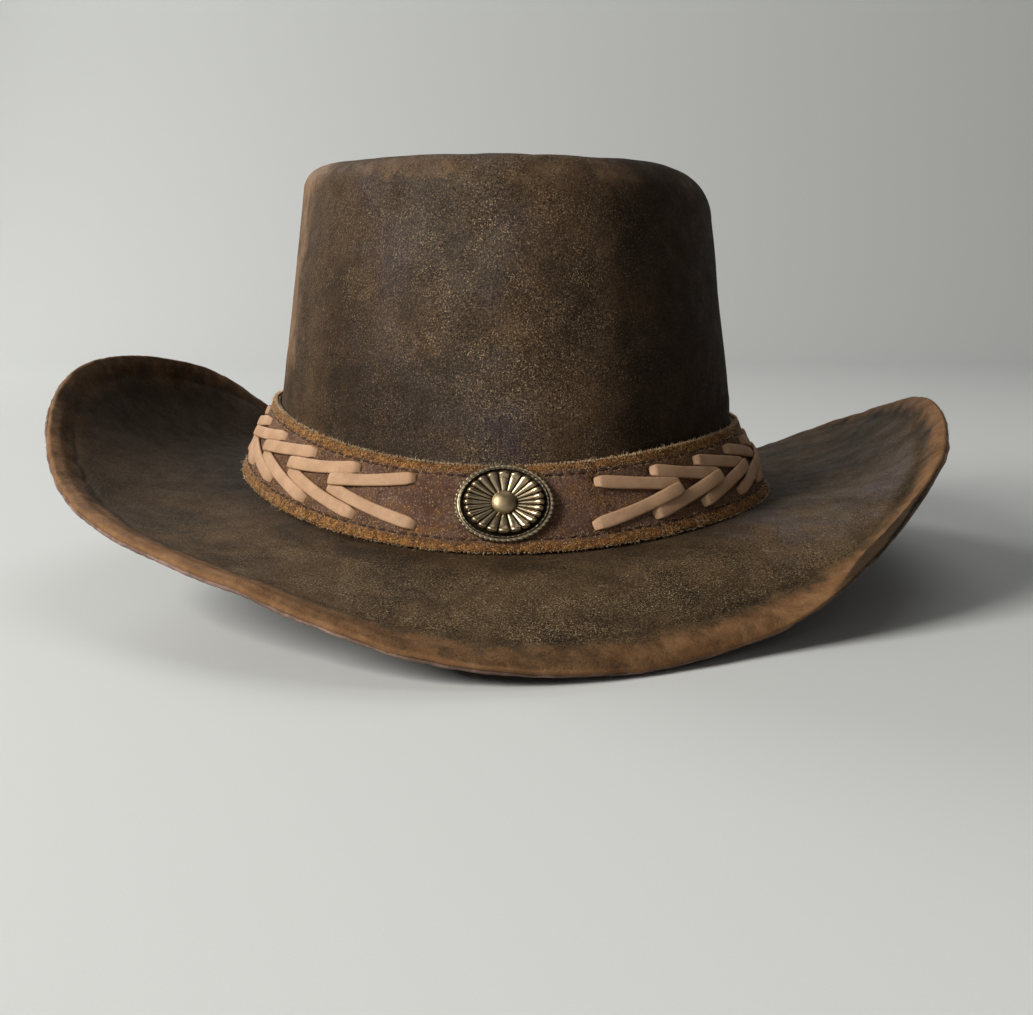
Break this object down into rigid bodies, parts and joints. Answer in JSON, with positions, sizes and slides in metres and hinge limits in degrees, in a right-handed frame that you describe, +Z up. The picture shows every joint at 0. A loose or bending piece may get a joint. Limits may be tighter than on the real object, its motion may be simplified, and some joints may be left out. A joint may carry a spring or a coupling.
{
  "type": "cowboy hat",
  "caption": "Leather cowboy hat with a tall flat-topped crown, curled wired brim, and a lift-off laced leather hatband with an oval fluted metal concho.",
  "frame": {"origin": "centre of the head opening, level with the mean height of the crown's foot at the sides", "axes": "+Z up out of the crown, the front of the hat faces -Y, +X is the wearer's left"},
  "size_m": [0.3426, 0.3885, 0.1599],
  "materials": {
    "crown_leather": "distressed, dry",
    "brim_leather": "distressed, worn tan at the edge",
    "steel_wire": "drawn",
    "brass": "dull",
    "lining_cloth": "satin weave",
    "sweat_leather": "smooth",
    "tan_thread": "waxed thread",
    "dark_thread": "waxed thread",
    "backing_leather": "raw suede",
    "band_leather": "rough, raw golden edges",
    "lace_leather": "smooth, undyed",
    "antique_brass": "antiqued, dark in the recesses",
    "screw_steel": "nickel plated"
  },
  "bodies": {
    "hat": {"crown_shell": "crown_leather", "brim_upper": "brim_leather", "brim_lower": "brim_leather", "brim_wire": "steel_wire", "wire_sleeve": "brass", "lining_side": "lining_cloth", "lining_tip": "lining_cloth", "sweatband": "sweat_leather", "sweatband_thread": "tan_thread", "crown_seam_thread": "dark_thread"},
    "hatband": {"band_backing": "backing_leather", "band_face": "band_leather", "band_thread_upper": "dark_thread", "band_thread_lower": "dark_thread", "lace_left_upper": "lace_leather", "lace_left_lower": "lace_leather", "lace_right_upper": "lace_leather", "lace_right_lower": "lace_leather", "band_lap": "band_leather", "lap_rivet_left": "brass", "lap_rivet_right": "brass"},
    "concho": {"concho_plate": "antique_brass", "concho_rosette": "antique_brass", "concho_button": "antique_brass", "concho_post": "screw_steel", "concho_screw": "screw_steel"}
  },
  "joints": [
    {"name": "hatband_lift", "type": "slide", "parent": "hat", "child": "hatband", "axis": [0, 0, 1], "range_m": [0, 0.16]},
    {"name": "concho_swivel", "type": "hinge", "parent": "hatband", "child": "concho", "pos_m": [0, -0.1165, 0.00407], "axis": [0, -0.9002, 0.4354], "continuous": true}
  ]
}
